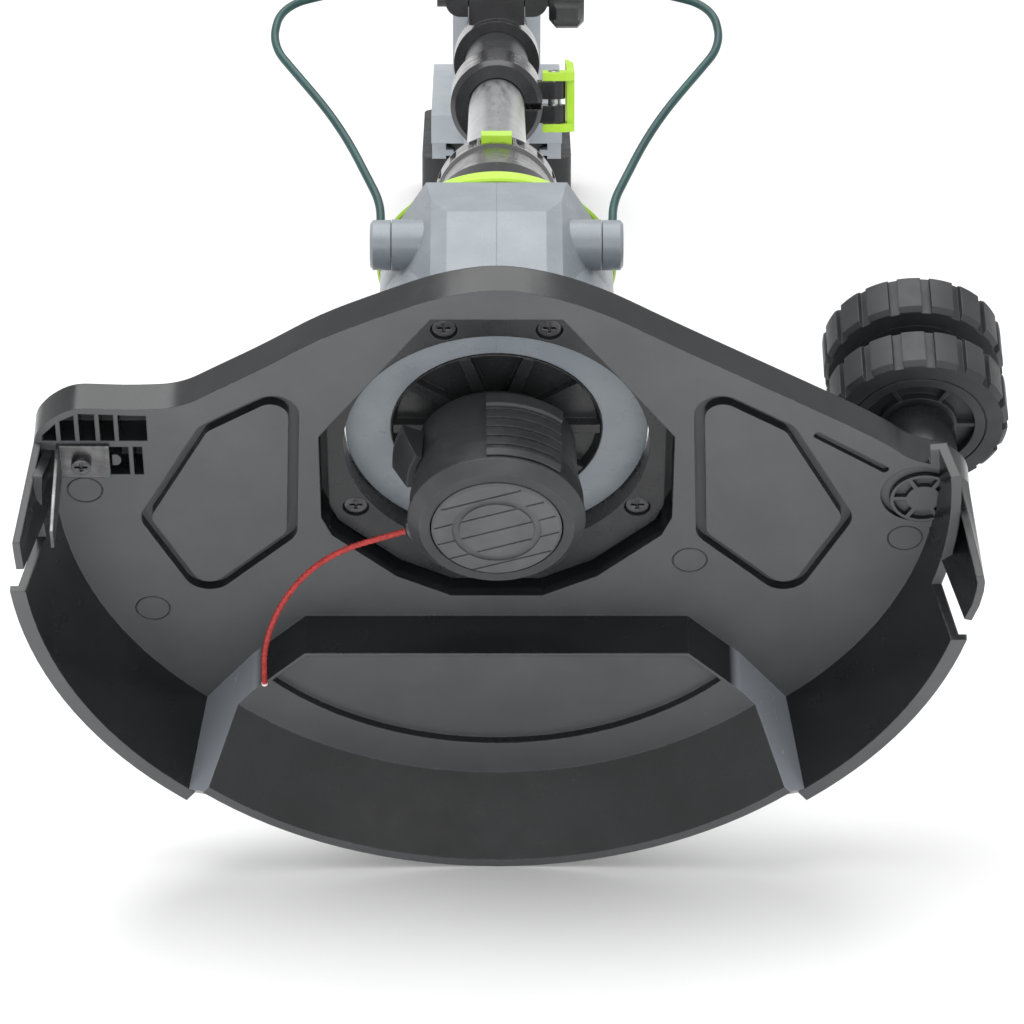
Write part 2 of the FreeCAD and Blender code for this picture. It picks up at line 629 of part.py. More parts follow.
# ------------------------------------------------------------------ line head
def spool_housing():
    """The driven drum, open below, with a lug for the line's outlet."""
    body = new_body("spool_housing", HEAD)
    profile = [
        ("spindle_r", 8), ("spool_r - 3", 8), ("spool_r - 0.5", 5), ("spool_r", -10), ("cap_r - 0.6", -20),
        ("cap_r - 0.6", "-cap_z + 0.4"), ("cap_r - 3.2", "-cap_z + 0.4"), ("cap_r - 3.2", -19.5),
        ("spool_r - 2.6", -10), ("spool_r - 2.6", 3.6), (6, 3.6), (6, -14), ("spindle_r", -14),
    ]
    turn(body, profile)
    outlet = FreeCAD.Placement(V(0, 0, -22), spin((0, 0, 1), 157) * spin((0, 1, 0), 90))
    cut(body, [("circle", 0, 0, 2.6)], 0, "cap_r + 5", turned=outlet * move(z="cap_r + 5"))


def line_eyelet():
    outlet = FreeCAD.Placement(V(0, 0, -22), spin((0, 0, 1), 157) * spin((0, 1, 0), 90))
    body = new_body("line_eyelet", HEAD * outlet)
    profile = [
        ("line_r + 0.05", "cap_r - 4"), (2.5, "cap_r - 4"), (2.5, "cap_r"), (4, "cap_r + 0.4"), (4, "cap_r + 2"),
        (3, "cap_r + 2.8"), ("line_r + 0.05", "cap_r + 2.8"),
    ]
    turn(body, profile)


def spool_cap():
    """The cover of the drum: a flat ring with a bevelled edge around the knob."""
    body = new_body("spool_cap", HEAD)
    profile = [
        ("knob_r + 0.5", "-cap_drop"), ("cap_r - 4", "-cap_drop"), ("cap_r", "-cap_z - 1"), ("cap_r", "-cap_z"),
        ("cap_r - 3.4", "-cap_z"), ("cap_r - 3.4", -25.5), ("cap_r - 5", -25.5), ("cap_r - 5", "-cap_z - 1"),
        ("cap_r - 5.6", "-cap_drop + 2.4"), ("knob_r + 0.5", "-cap_drop + 2.4"),
    ]
    turn(body, profile)


def cap_latches():
    """A ribbed latch and a smooth release tab, spring fingers on the cap."""
    latch = new_body("ribbed_latch", HEAD * move(rotation=spin((0, 0, 1), -71.4)))
    profile = [
        (30.2, -27.9), (30.8, -27.9), (31.6, -26), (31.6, -6), (32.4, -5.4), (32.4, -1), (29, -1), (28.4, -10),
        (30, -20),
    ]
    turn(latch, profile, 50, "XZ_Plane", middle=True)
    for i in range(5):
        low = -25 + 4.1 * i
        turn(latch, [(30.8, low), (33, low), (33, low + 1.3), (30.8, low + 1.3)], remove=True)
    tab = new_body("release_tab", HEAD * move(rotation=spin((0, 0, 1), 192)))
    turn(tab, [(28.2, -12.5), (30.5, -12.5), (35.5, -3), (35.5, 0), (27.7, 0)], 30, "XZ_Plane", middle=True)
    for one in (latch, tab):
        PARTS.remove(one)
    group("cap_latches", [latch, tab])


def bump_knob():
    """The knob that is knocked on the ground: a ring groove and five thin straight ones cross its face."""
    body = new_body("bump_knob", HEAD * move(rotation=spin((0, 0, 1), -19.6)))
    profile = [
        (0, "-cap_drop - 1"), ("knob_r - 1", "-cap_drop - 1"), ("knob_r", "-cap_drop"), ("knob_r", "-cap_drop + 6"),
        (3, "-cap_drop + 6"), (3, -25), (0, -25),
    ]
    turn(body, profile)
    cut(body, [("circle", 0, 0, 15), ("circle", 0, 0, 12.6)], "-cap_drop - 2", "-cap_drop - 0.2")
    for i in range(5):
        middle = 7.8 * (i - 2)
        reach = math.sqrt(21 ** 2 - middle ** 2)
        line = [(-reach, middle - 0.35), (reach, middle - 0.35), (reach, middle + 0.35), (-reach, middle + 0.35)]
        cut(body, [line], "-cap_drop - 2", "-cap_drop - 0.4")


def spool_reel():
    profile = [
        (7.4, 3.2 - 4.4), (19.5, 3.2 - 4.4), (19.5, -2.6), (9.4, -2.6), (9.4, -17.6), (21, -17.6), (21, -19.6),
        (13, -19.6), (13, "-cap_drop + 6"), (3, "-cap_drop + 6"), (3, -24), (6.6, -24), (6.6, -15.4), (7.4, -15.4),
    ]
    turned_part("spool_reel", HEAD, profile)


def wound_line():
    profile = [(9.5, -17.4), (17.5, -17.4), (18, -14), (17.5, -10), (18.2, -6), (17.5, -2.8), (9.5, -2.8)]
    turned_part("wound_line", HEAD, profile)


def bump_spring():
    """A compression spring of four turns between the hub of the drum and the reel."""
    coil("bump_spring", HEAD * move(z=-23.4), 4.6, 0.45, 2.1, 8.4)


LINE_ROUTE = [
    (-27.62, 11.72, -22), (-38.2, 16.22, -22), (-49, 19, -23.4), (-59.5, 24.7, -25), (-67.6, 33.6, -26),
    (-73.6, 44.2, -26.6), (-77.8, 55.4, -27), (-80.2, 66.6, -27), (-81.1, 76.6, -27), (-81, 86.2, -27),
]


def route_wire(points):
    """Straight runs joined by tangent arcs, as large as the runs beside them allow."""
    spots = [V(*p) for p in points]
    edges = []
    start = spots[0]
    radii = []
    for before, corner, after in zip(spots, spots[1:], spots[2:]):
        a, b = (before - corner), (after - corner)
        turn_angle = math.pi - a.getAngle(b)
        reach = 0.45 * min(a.Length, b.Length)
        radii.append(reach / math.tan(turn_angle / 2))
        first = corner + a.normalize() * reach
        last = corner + b.normalize() * reach
        middle = corner + (a + b).normalize() * (radii[-1] / math.cos(turn_angle / 2) - radii[-1])
        edges += [Part.LineSegment(start, first).toShape(), Part.Arc(first, middle, last).toShape()]
        start = last
    edges.append(Part.LineSegment(start, spots[-1]).toShape())
    return Part.Wire(edges), radii


def trim_line():
    """The free end of the cutting line, curling out of its eyelet."""
    wire, radii = route_wire(LINE_ROUTE)
    ahead = V(*LINE_ROUTE[1]) - V(*LINE_ROUTE[0])
    section = Part.Wire([Part.makeCircle(size("line_r"), V(*LINE_ROUTE[0]), ahead)])
    made = doc.addObject("Part::Feature", "trim_line")
    made.Shape = wire.makePipeShell([section], True, True)
    expected = math.pi * size("line_r") ** 2 * wire.Length
    print("line radii", [round(r, 1) for r in radii], "length", round(wire.Length, 1))
    print("line volume", round(made.Shape.Volume, 1), "section times length", round(expected, 1))
    part(made, "trim_line", HEAD)


# ------------------------------------------------------------------ edging wheels
def wheel_post():
    """The post the wheels stand off on; its spoked foot shows in the guard's hole."""
    body = new_body("wheel_post", HEAD * move("wheel_x", "wheel_y"))
    profile = [
        (0, 0), ("post_r - 1.3", 0), ("post_r - 1.3", "plate_t"), ("post_r + 0.6", "plate_t"),
        ("post_r - 0.2", "wheel_z - 2"), ("axle_r", "wheel_z - 2"), ("axle_r", 12), (0, 12),
    ]
    turn(body, profile)
    cut(body, [("circle", 0, 0, "post_r - 2.5"), ("circle", 0, 0, 6)], -1, 2)
    spoke = pad(body, [[(5.5, -0.8), ("post_r - 2", -0.8), ("post_r - 2", 0.8), (5.5, 0.8)]], 0, 2.2)
    around(body, spoke, 6)


def wheel_axle():
    length = "wheel_z + 2 * wheel_w + wheel_gap + 4 - 12"
    part(cylinder("wheel_axle", "axle_r", length, HEAD * move("wheel_x", "wheel_y", 12)), "wheel_axle")


def wheel(label, low):
    """A tread of square lugs around a web, with a ribbed hollow in each face and a hub."""
    body = new_body(label, HEAD * move("wheel_x", "wheel_y", low))
    profile = [
        ("axle_r + 0.08", 0.4), (13.5, 0.4), (13.5, 3.4), ("wheel_r - 11.7", 3.4), ("wheel_r - 11.7", 0),
        ("wheel_r - 8.2", 0), ("wheel_r - 8.2", 0.6), ("wheel_r - 7.6", 0.6), ("wheel_r - 7.6", 0),
        ("wheel_r - 1.6", 0), ("wheel_r", 1.6), ("wheel_r", "wheel_w - 1.6"), ("wheel_r - 1.6", "wheel_w"),
        ("wheel_r - 7.6", "wheel_w"), ("wheel_r - 7.6", "wheel_w - 0.6"), ("wheel_r - 8.2", "wheel_w - 0.6"),
        ("wheel_r - 8.2", "wheel_w"), ("wheel_r - 11.7", "wheel_w"), ("wheel_r - 11.7", "wheel_w - 3.4"),
        (13.5, "wheel_w - 3.4"), (13.5, "wheel_w - 0.4"), ("axle_r + 0.08", "wheel_w - 0.4"),
    ]
    turn(body, profile)
    valley = [("wheel_r - 2.2", -1.7), ("wheel_r + 3", -1.7), ("wheel_r + 3", 1.7), ("wheel_r - 2.2", 1.7)]
    gap = cut(body, [valley], -1, "wheel_w + 1")
    around(body, gap, 17)
    spoke = [(13, -0.8), ("wheel_r - 11.2", -0.8), ("wheel_r - 11.2", 0.8), (13, 0.8)]
    for bottom, top in ((0.8, 3.6), ("wheel_w - 3.6", "wheel_w - 0.8")):
        rib = pad(body, [spoke], bottom, top)
        around(body, rib, 6)


def wheel_spacer():
    low = "wheel_z + wheel_w + 0.2"
    profile = [
        ("axle_r", low), (7, low), (7, "wheel_z + wheel_w + wheel_gap - 0.2"),
        ("axle_r", "wheel_z + wheel_w + wheel_gap - 0.2"),
    ]
    turned_part("wheel_spacer", HEAD * move("wheel_x", "wheel_y"), profile)


def axle_cap():
    low = "wheel_z + 2 * wheel_w + wheel_gap"
    profile = [
        ("axle_r", low), (7.5, low), (7.5, low + " + 3"), (5, low + " + 6"), (0, low + " + 6"), (0, low + " + 4"),
        ("axle_r", low + " + 4"),
    ]
    turned_part("axle_cap", HEAD * move("wheel_x", "wheel_y"), profile)


# ------------------------------------------------------------------ edge guide
def guide_pivots():
    """The drums that turn on the bosses' pins; each has a blind hole for an end of the wire."""
    made = []
    for name, side in (("right_pivot", 1), ("left_pivot", -1)):
        drum = new_body(name, HEAD * move(y="-boss_y", z="boss_z", rotation=spin((0, 1, 0), 90 * side)))
        PARTS.remove(drum)
        profile = [
            ("pin_r + 0.06", "boss_end + 0.3"), ("boss_r - 0.2", "boss_end + 0.3"), ("boss_r - 0.2", "pivot_end - 1"),
            ("boss_r - 1.4", "pivot_end"), (0, "pivot_end"), (0, "pivot_end - 1.8"), ("pin_r + 0.06", "pivot_end - 1.8"),
        ]
        turn(drum, profile)
        depth = (-12, -4.9) if side > 0 else (4.9, 12)
        cut(drum, [("circle", 0, "wire_hole", "wire_r + 0.05")], *depth, "YZ_Plane")
        made.append(drum)
    group("guide_pivots", made)


def edge_guide_wire():
    """A sprung wire loop that stands up beside the neck and folds down in front of the guard."""
    foot_x, foot_z = size("wire_hole"), size("boss_z") + 5
    spread, top = size("loop_half"), size("loop_top")
    half = [
        (foot_x, foot_z), (foot_x + 0.2, foot_z + 16), (foot_x + 15, foot_z + 56), (spread - 3, top - 30),
        (spread - 6, top - 9), (spread - 30, top),
    ]
    points = half + [(-x, z) for x, z in reversed(half)]
    wire, radii = route_wire([(x, 0.0, z) for x, z in points])
    section = Part.Wire([Part.makeCircle(size("wire_r"), V(points[0][0], 0, points[0][1]), V(0, 0, 1))])
    made = doc.addObject("Part::Feature", "edge_guide_wire")
    made.Shape = wire.makePipeShell([section], True, True)
    print("guide radii", [round(r, 1) for r in radii])
    part(made, "edge_guide_wire", HEAD * move(y="-boss_y"))


# ------------------------------------------------------------------ neck and tubes
def neck_half(label, side):
    """Half of the neck: a dome on the ring and a socket along the tubes."""
    body = new_body(label, HEAD)
    dome = [
        (0, "ring_top"), ("ring_r - 4.4", "ring_top"), ("ring_r - 8", "ring_top + 4"), ("neck_r + 3", "ring_top + 12"),
        ("neck_r", "ring_top + 21"), (0, "ring_top + 21"),
    ]
    turn(body, dome, 180, "YZ_Plane", back=side > 0)
    lean = FreeCAD.Placement(V(0, 0, size("root_z")), spin((1, 0, 0), -size("shaft_lean")))
    if side > 0:
        half = [(0, "-neck_r", "neck_r"), ("neck_r", 0, "neck_r"), (0, "neck_r")]
    else:
        half = [(0, "neck_r", "neck_r"), ("-neck_r", 0, "neck_r"), (0, "-neck_r")]
    pad(body, [half], 0, "collar_s - 3.4", turned=lean * move(z=3))
    bore = FreeCAD.Placement(lean.multVec(V(0, 0, size("collar_s"))), lean.Rotation)
    cut(body, [("circle", 0, 0, "neck_r - 4.95")], 0, "collar_s - 21", turned=bore)
    hollow = [
        (0, "ring_top - 3"), ("ring_r - 12", "ring_top - 3"), ("ring_r - 12", "ring_top"),
        ("neck_r - 6", "ring_top + 5"), (0, "ring_top + 5"),
    ]
    turn(body, hollow, 360, "YZ_Plane", remove=True)
    for y, z in NECK_SPOTS:
        cut(body, [("circle", 0, 0, 1.3)], 0, 18, turned=lean * move(9, y, z, rotation=spin((0, 1, 0), 90)))


def swivel_collar():
    """A spigot that turns in the neck, and the ring above it that the user holds."""
    body = new_body("swivel_collar", SHAFT)
    profile = [
        ("lower_r", "collar_s - 40"), ("neck_r - 5", "collar_s - 40"), ("neck_r - 5", "collar_s"),
        ("neck_r", "collar_s"), ("neck_r + 1", "collar_s + 4"), ("neck_r + 1", "collar_s + 30"),
        ("lower_r + 3", "collar_s + 46"), ("lower_r", "collar_s + 46"),
    ]
    turn(body, profile)
    groove = cut(body, [("circle", "neck_r + 2", 0, 2)], "collar_s + 6", "collar_s + 28")
    around(body, groove, 16)
    cut(body, [[(-6, -30), (6, -30), (6, -16), (-6, -16)]], "collar_s + 8", "collar_s + 24")


def swivel_button():
    body = new_body("swivel_button", SHAFT)
    pad(body, [[(-5.7, -25.4), (5.7, -25.4), (5.7, -18.6), (-5.7, -18.6)]], "collar_s + 8.3", "collar_s + 23.7")


def lower_tube():
    profile = [
        ("lower_r - tube_wall", "collar_s - 38"), ("lower_r", "collar_s - 38"), ("lower_r", "grip_s - 130"),
        ("lower_r - tube_wall", "grip_s - 130"),
    ]
    turned_part("lower_tube", SHAFT, profile)


def upper_tube():
    profile = [
        ("upper_r - tube_wall", "upper_s"), ("upper_r", "upper_s"), ("upper_r", "grip_s + 20"),
        ("upper_r - tube_wall", "grip_s + 20"),
    ]
    turned_part("upper_tube", SHAFT, profile)


def tube_bush():
    """A plastic sleeve inside the upper tube that the lower tube slides in."""
    profile = [
        ("lower_r + 0.06", "upper_s + 2"), ("upper_r - tube_wall", "upper_s + 2"),
        ("upper_r - tube_wall", "upper_s + 60"), ("lower_r + 0.06", "upper_s + 60"),
    ]
    turned_part("tube_bush", SHAFT, profile)


def telescope_clamp():
    """A split collar around the end of the upper tube, with two ears for the lever."""
    body = new_body("telescope_clamp", SHAFT)
    profile = [
        ("lower_r + 0.4", "clamp_s"), ("upper_r + 3", "clamp_s"), ("upper_r + 5", "clamp_s + 3"),
        ("upper_r + 5", "clamp_s + 52"), ("upper_r + 3", "clamp_s + 56"), ("upper_r", "clamp_s + 56"),
        ("upper_r", "upper_s"), ("lower_r + 0.4", "upper_s"),
    ]
    turn(body, profile)
    pad(body, [[("upper_r + 1", -9), (25, -9), (25, 9), ("upper_r + 1", 9)]], "clamp_s + 15", "clamp_s + 25")
    pad(body, [("circle", 25, "clamp_s + 20", 5)], -9, 9, "XZ_Plane")
    cut(body, [[("lower_r - 4", -1.4), (40, -1.4), (40, 1.4), ("lower_r - 4", 1.4)]], "clamp_s - 1", "clamp_s + 40")
    cut(body, [("circle", 25, "clamp_s + 20", 2.5)], -20, 20, "XZ_Plane")


def clamp_pin():
    spot = SHAFT * move(25, -13.5, "clamp_s + 20", rotation=spin((1, 0, 0), -90))
    part(cylinder("clamp_pin", 2.5, 27, spot), "clamp_pin")


def clamp_lever():
    """A cam lever that lies along the tube and swings out to free it."""
    body = new_body("clamp_lever", SHAFT * move(25, 0, "clamp_s + 20"))
    cheek = [(-5, -5), (5, -5), (9, -2), (9, 40), (6, 54), (5.6, 54), (5.6, 8), (-5, 6)]
    pad(body, [cheek], -13, 13, "XZ_Plane")
    cut(body, [[(-8, -8), (12, -8), (12, -2), (5.6, -2), (5.6, 60), (-8, 60)]], -9.4, 9.4, "XZ_Plane")
    cut(body, [("circle", 0, 0, 2.56)], -20, 20, "XZ_Plane")


# ------------------------------------------------------------------ auxiliary handle
def aux_clamp():
    """A saddle around the upper tube with a round boss across its top."""
    body = new_body("aux_clamp", SHAFT)
    pad(body, [("circle", 0, 0, "upper_r + 5"), ("circle", 0, 0, "upper_r")], "aux_s - 20", "aux_s + 20")
    block = [(-13, "-upper_r - 2"), (-13, "-upper_r - 22"), (13, "-upper_r - 22"), (13, "-upper_r - 2")]
    pad(body, [block], "aux_s - 8", "aux_s + 8")
    cut(body, [("circle", "-upper_r - 13", "aux_s", 3.05)], -30, 30, "YZ_Plane")


def aux_pivot():
    return SHAFT * move(0, "-upper_r - 13", "aux_s")


def aux_handle():
    """A closed loop that stands up from the tube; two cheeks hold the clamp's boss."""
    body = new_body("aux_handle", aux_pivot())
    outer = [(-24, 7), (-24, -20), (-62, -54), (-58, -122), (58, -122), (62, -54), (24, -20), (24, 7)]
    inner = [(-12, -32), (-48, -62), (-45, -106), (45, -106), (48, -62), (12, -32)]
    pad(body, [rounded(outer, 7), rounded(inner, 9)], -9, 9)
    cut(body, [[(-13.4, -13.6), (13.4, -13.6), (13.4, 12), (-13.4, 12)]], -12, 12)
    cut(body, [("circle", 0, 0, 3.05)], -40, 40, "YZ_Plane")


def aux_knob():
    """A knob moulded on the end of the bolt that the handle pivots on."""
    body = new_body("aux_knob", aux_pivot() * move(rotation=spin((0, 1, 0), 90)))
    turn(body, [(0, -28), (3, -28), (3, 24.6), (9, 24.6), (13, 28), (13, 38), (10, 41), (0, 41)])
    notch = cut(body, [("circle", 14.5, 0, 3)], 24, 42)
    around(body, notch, 7)


def aux_grip():
    body = new_body("aux_grip", aux_pivot())
    band = rounded([(-34, -124.5), (34, -124.5), (34, -103.5), (-34, -103.5)], 6)
    pad(body, [band], -11.5, 11.5)
    cut(body, [[(-50, -122), (50, -122), (50, -106), (-50, -106)]], -9, 9)


# ------------------------------------------------------------------ rear handle
def handle_outline():
    shoe = "%g + case_top + 0.4" % FLOOR
    return [
        (-40, -22), (-6, -27), (22, shoe), (150, shoe), (158, -30), (150, 2), (128, 20), (60, 30), (0, 29), (-40, 22),
    ]


FINGER_GAP = [(26, -6), (31, -42), (110, -42), (120, -14), (100, -4)]
TRIGGER_PIVOT = (49, 1)
HANDLE_SPOTS = [(20, 24), (137, 0), (152, -36), (16, -34)]


def handle_half(label, side):
    """Half of the closed handle: nose around the tube, grip, finger gap and battery shoe."""
    body = new_body(label, HANDLE)
    low, high = ("0", "grip_w") if side > 0 else ("-grip_w", "0")
    inside = ("-1", "grip_w - wall_t") if side > 0 else ("-grip_w + wall_t", "1")
    outline = handle_outline()
    pad(body, [rounded(outline, 5)], low, high, "YZ_Plane")
    nose = ("0", "22") if side > 0 else ("-22", "0")
    pad(body, [rounded([(-40, -20), (14, -18), (14, 22), (-40, 20)], 4)], *nose, "YZ_Plane")
    shoe_low = "%g + case_top + 0.4" % FLOOR
    wide = ("0", "shoe_w") if side > 0 else ("-shoe_w", "0")
    pad(body, [[(30, shoe_low), (150, shoe_low), (154, shoe_low + " + 14"), (34, shoe_low + " + 14")]], *wide, "YZ_Plane")
    cavity = [
        (40, 0), (104, 2), (124, -12), (115, -46), (34, -46), (38, shoe_low + " + 3"), (144, shoe_low + " + 3"),
        (150, -30), (142, 0), (124, 15), (58, 25), (42, 25),
    ]
    cut(body, [cavity], *inside, "YZ_Plane")
    rail = ("26.4", "33.6") if side > 0 else ("-33.6", "-26.4")
    lip = ("22.4", "26.4") if side > 0 else ("-26.4", "-22.4")
    bar = [(36, shoe_low), (36, shoe_low + " - 9.6"), (146, shoe_low + " - 9.6"), (146, shoe_low)]
    pad(body, [bar], *rail, "YZ_Plane")
    tongue = [(36, shoe_low + " - 8"), (146, shoe_low + " - 8"), (146, shoe_low + " - 4.8"), (36, shoe_low + " - 4.8")]
    pad(body, [tongue], *lip, "YZ_Plane")
    return body


def tune_handle(body, side):
    """The finger gap, the tube's socket and the openings for the trigger and the lock button."""
    low, high = ("-1", "grip_w + 10") if side > 0 else ("-grip_w - 10", "1")
    cut(body, [rounded(FINGER_GAP, 5)], low, high, "YZ_Plane")
    down = FreeCAD.Placement(V(0, 0, 0), SHAFT.Rotation) * move(z=21)
    cut(body, [("circle", 0, 0, "upper_r")], 0, 100, turned=down)
    trigger_slot = [(44, -12), (98, -12), (98, 6), (44, 6)]
    slot = ("-1", "7.4") if side > 0 else ("-7.4", "1")
    cut(body, [trigger_slot], *slot, "YZ_Plane")
    lock_slot = [(56, 18), (76, 18), (76, 40), (56, 40)]
    cut(body, [lock_slot], *slot, "YZ_Plane")
    cut(body, [("circle", y, z, 1.5) for y, z in HANDLE_SPOTS], -10, 10, "YZ_Plane")
    cut(body, [("circle", *TRIGGER_PIVOT, 1.5)], -8, 8, "YZ_Plane")


def rear_handle():
    for label, side in (("rear_handle_left", -1), ("rear_handle_right", 1)):
        tune_handle(handle_half(label, side), side)


def handle_screws():
    made = []
    for i, (y, z) in enumerate(HANDLE_SPOTS):
        spot = HANDLE * move(10, y, z, rotation=spin((0, 1, 0), -90))
        made.append(cylinder("handle_screw_%d" % i, 1.5, 20, spot))
    group("handle_screws", made)


def trigger():
    """A curved lever that hangs in the finger gap and turns about a pin at its front."""
    body = new_body("trigger", HANDLE)
    blade = [(45, 5), (80, 5), (92, 1), (95, -9), (84, -12), (64, -12), (50, -14), (46, -8)]
    pad(body, [rounded(blade, 1.6)], -6.8, 6.8, "YZ_Plane")
    cut(body, [("circle", *TRIGGER_PIVOT, 1.56)], -8, 8, "YZ_Plane")


def trigger_pin():
    spot = HANDLE * move(-8, *TRIGGER_PIVOT, rotation=spin((0, 1, 0), 90))
    part(cylinder("trigger_pin", 1.5, 16, spot), "trigger_pin")


def coil(label, placement, radius, wire_r, pitch, height):
    made = doc.addObject("Part::Feature", label)
    wire = Part.Wire(Part.makeLongHelix(pitch, height, radius).Edges)
    section = Part.Wire([Part.makeCircle(wire_r, V(radius, 0, 0), V(0, 1, 0))])
    made.Shape = wire.makePipeShell([section], True, True)
    part(made, label, placement)


def lock_button():
    body = new_body("lock_button", HANDLE)
    pad(body, [rounded([(56.6, 18.6), (75.4, 18.6), (75.4, 30), (72, 33), (60, 34), (56.6, 32)], 1)], -6.8, 6.8, "YZ_Plane")


def micro_switch():
    spot = HANDLE * move(-6, 58, 9)
    part(box("micro_switch", 12, 28, 5.5, spot), "micro_switch")


def control_board():
    spot = HANDLE * move(-11, 48, "%g + case_top + 5" % FLOOR)
    part(box("control_board", 22, 62, 1.6, spot), "control_board")


def terminal_block():
    spot = HANDLE * move(-12, 120, "%g + case_top + 5" % FLOOR)
    part(box("terminal_block", 24, 16, 9, spot), "terminal_block")


# ------------------------------------------------------------------ battery
def battery_frame():
    return FreeCAD.Placement(V(0, grip.y + 96, 0), FreeCAD.Rotation())


def battery_case_lower():
    body = new_body("battery_case_lower", battery_frame())
    half = "case_l / 2"
    outline = [("-case_w", "-" + half), ("case_w", "-" + half), ("case_w", half), ("-case_w", half)]
    pad(body, [rounded(outline, 8)], 0, 26)
    soften(body, lambda e: e.BoundBox.ZMax < 0.01, 2.5)
    cut(body, [rounded(inset(outline, size("wall_t")), 5.4)], 3, 27)


def battery_case_upper():
    body = new_body("battery_case_upper", battery_frame())
    half = "case_l / 2"
    outline = [("-case_w", "-" + half), ("case_w", "-" + half), ("case_w", half), ("-case_w", half)]
    pad(body, [rounded(outline, 8)], 26, 40)
    pad(body, [rounded([(-26, "-" + half), (26, "-" + half), (26, 44), (-26, 44)], 4)], 40, "case_top")
    cut(body, [[(-30, -60), (-22, -60), (-22, 60), (-30, 60)]], 42, 46)
    cut(body, [[(22, -60), (30, -60), (30, 60), (22, 60)]], 42, 46)
    cut(body, [rounded(inset(outline, size("wall_t")), 5.4)], 25, 37)
    cut(body, [[(-9.4, 44), (9.4, 44), (9.4, 60), (-9.4, 60)]], 28, 37)


def battery_cells():
    made = []
    for i in range(5):
        spot = battery_frame() * move(-32.5, 19.5 * (i - 2), 14, rotation=spin((0, 1, 0), 90))
        made.append(cylinder("cell_%d" % i, 9.2, 65, spot))
    group("battery_cells", made)


def battery_latch():
    body = new_body("battery_latch", battery_frame())
    pad(body, [[(-9, 46), (9, 46), (9, 58), (-9, 58)]], 28.4, 36.6)


def build():
    guard()
    clamp_ring()
    guard_screws()
    line_cutter()
    housing_half("motor_housing_left", -1)
    housing_half("motor_housing_right", 1)
    seam_screws()
    accent_ring()
    motor_mount()
    motor_can()
    motor_magnets()
    motor_end_bell()
    spindle_bearings()
    armature()
    motor_spindle()
    spool_housing()
    line_eyelet()
    spool_cap()
    cap_latches()
    bump_knob()
    spool_reel()
    wound_line()
    bump_spring()
    trim_line()
    wheel_post()
    wheel_axle()
    wheel("wheel_near", "wheel_z")
    wheel("wheel_far", "wheel_z + wheel_w + wheel_gap")
    wheel_spacer()
    axle_cap()
    guide_pivots()
    edge_guide_wire()
    neck_half("neck_left", -1)
    neck_half("neck_right", 1)
    swivel_collar()
    swivel_button()
    lower_tube()
    upper_tube()
    tube_bush()
    telescope_clamp()
    clamp_pin()
    clamp_lever()
    aux_clamp()
    aux_handle()
    aux_knob()
    aux_grip()
    rear_handle()
    handle_screws()
    trigger()
    trigger_pin()
    coil("trigger_spring", HANDLE * move(0, 63, 5.4), 2.4, 0.35, 1.2, 3.2)
    lock_button()
    micro_switch()
    control_board()
    terminal_block()
    battery_case_lower()
    battery_case_upper()
    battery_cells()
    battery_latch()


def centre_on_floor():
    """Puts the origin at the middle of the footprint, on the floor."""
    doc.recompute()
    whole = FreeCAD.BoundBox()
    for p in PARTS:
        whole.add(p.Shape.BoundBox)
    shift = V(-whole.Center.x, -whole.Center.y, -whole.ZMin)
    for p in PARTS:
        p.Placement = FreeCAD.Placement(shift, FreeCAD.Rotation()) * p.Placement
    print("origin moved by", [round(v, 4) for v in shift])


def report():
    """Stops on any failed object; writes one file for each sub-part."""
    doc.recompute()
    faults = [o.Name for o in doc.Objects if "Invalid" in o.State or "Error" in o.State]
    if faults:
        raise RuntimeError("failed objects: " + ", ".join(faults))
    faulty = [p.Label for p in PARTS if p.Shape.isNull() or not p.Shape.isValid()]
    if faulty:
        raise RuntimeError("bad shapes: " + ", ".join(faulty))
    os.makedirs("parts", exist_ok=True)
    for p in PARTS:
        p.Shape.exportStep("parts/%s.step" % p.Label)
    print(len(PARTS), "nodes")


build()
centre_on_floor()
report()
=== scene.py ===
import json
import math
import bmesh
import bpy
from mathutils import Matrix, Vector


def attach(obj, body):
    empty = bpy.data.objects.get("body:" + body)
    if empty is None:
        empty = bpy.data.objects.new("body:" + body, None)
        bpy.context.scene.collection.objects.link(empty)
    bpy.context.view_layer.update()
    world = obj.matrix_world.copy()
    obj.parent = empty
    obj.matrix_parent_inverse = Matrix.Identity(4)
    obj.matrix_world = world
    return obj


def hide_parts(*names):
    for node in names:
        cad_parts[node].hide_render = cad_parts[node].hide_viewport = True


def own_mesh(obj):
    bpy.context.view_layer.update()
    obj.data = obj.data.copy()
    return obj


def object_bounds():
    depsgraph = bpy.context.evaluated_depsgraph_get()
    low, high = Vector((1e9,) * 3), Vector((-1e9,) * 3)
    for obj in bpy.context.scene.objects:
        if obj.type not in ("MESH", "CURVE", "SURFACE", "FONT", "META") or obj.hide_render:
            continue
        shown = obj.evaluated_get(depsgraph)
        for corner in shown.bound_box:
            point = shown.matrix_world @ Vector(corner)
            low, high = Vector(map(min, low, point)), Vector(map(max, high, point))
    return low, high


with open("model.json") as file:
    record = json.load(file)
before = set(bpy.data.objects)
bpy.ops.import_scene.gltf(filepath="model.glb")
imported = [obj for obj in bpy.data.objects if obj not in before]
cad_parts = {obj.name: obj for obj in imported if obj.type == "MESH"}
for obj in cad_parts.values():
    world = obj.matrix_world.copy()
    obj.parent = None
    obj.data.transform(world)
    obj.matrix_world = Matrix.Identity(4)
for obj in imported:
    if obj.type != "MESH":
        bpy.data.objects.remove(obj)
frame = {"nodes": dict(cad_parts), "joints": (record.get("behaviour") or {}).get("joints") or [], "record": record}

CAD_BOX = [list(corner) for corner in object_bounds()]
MM = 0.001
NODES = frame["nodes"]
